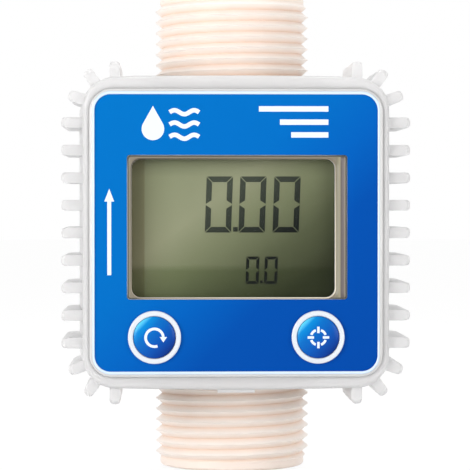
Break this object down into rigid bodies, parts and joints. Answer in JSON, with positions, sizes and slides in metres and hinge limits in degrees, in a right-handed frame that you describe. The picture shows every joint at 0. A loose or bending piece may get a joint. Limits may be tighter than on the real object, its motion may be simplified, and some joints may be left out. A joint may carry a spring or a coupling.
{
  "type": "turbine flow meter",
  "caption": "In-line turbine flow meter: threaded plastic pipe body with a spinning rotor, a square display head, two push buttons and a ribbed silicone boot.",
  "frame": {"origin": "on the flow axis, in the face of the inlet end", "axes": "+Z along the flow, from inlet to outlet; the display faces -Y; +X is to the right as the display is read"},
  "size_m": [0.0716, 0.0538, 0.1016],
  "materials": {
    "body_plastic": "satin moulded nylon, cream",
    "guide_plastic": "satin moulded, off-white",
    "bush": "plain dark bearing plastic",
    "steel": "bright stainless",
    "rotor_plastic": "satin dark",
    "magnet": "plated, satin",
    "cover_plastic": "milky, translucent, gloss",
    "seal": "matte",
    "boot_silicone": "translucent milky silicone, satin",
    "label_film": "printed blue film, gloss",
    "lens": "clear, polished",
    "display": "grey-green liquid crystal",
    "frame_plastic": "plain moulded",
    "contact_rubber": "matte",
    "board": "solder-masked laminate",
    "chip": "moulded epoxy",
    "cell_jacket": "printed jacket, gloss",
    "contact_metal": "plated spring sheet",
    "button_plastic": "domed, gloss blue",
    "ring_plastic": "pale, gloss",
    "plunger_plastic": "plain"
  },
  "bodies": {
    "meter": {"meter_body": "body_plastic", "inlet_guide": "guide_plastic", "outlet_guide": "guide_plastic", "inlet_bush": "bush", "outlet_bush": "bush", "retaining_rings": "steel", "front_cover": "cover_plastic", "case_seal": "seal", "case_screws": "steel", "protective_boot": "boot_silicone", "face_label": "label_film", "window_lens": "lens", "display_panel": "display", "display_frame": "frame_plastic", "display_contacts": "contact_rubber", "circuit_board": "board", "board_screws": "steel", "controller_chip": "chip", "clock_crystal": "steel", "pickup_sensor": "chip", "left_cell": "cell_jacket", "right_cell": "cell_jacket", "cell_contacts": "contact_metal", "cell_springs": "contact_metal", "reset_button_ring": "ring_plastic", "reset_switch": "chip", "calibration_button_ring": "ring_plastic", "calibration_switch": "chip"},
    "rotor": {"turbine_rotor": "rotor_plastic", "rotor_shaft": "steel", "rotor_magnets": "magnet"},
    "reset_button": {"reset_button": "button_plastic", "reset_switch_plunger": "plunger_plastic"},
    "calibration_button": {"calibration_button": "button_plastic", "calibration_switch_plunger": "plunger_plastic"}
  },
  "joints": [
    {"name": "rotor_spin", "type": "hinge", "parent": "meter", "child": "rotor", "pos_m": [0, 0, 0.0508], "axis": [0, 0, 1], "continuous": true},
    {"name": "reset_press", "type": "slide", "parent": "meter", "child": "reset_button", "axis": [0, 1, 0], "range_m": [0, 0.0005], "stiffness_N_per_m": 600, "springref_m": -0.001},
    {"name": "calibration_press", "type": "slide", "parent": "meter", "child": "calibration_button", "axis": [0, 1, 0], "range_m": [0, 0.0005], "stiffness_N_per_m": 600, "springref_m": -0.001}
  ]
}
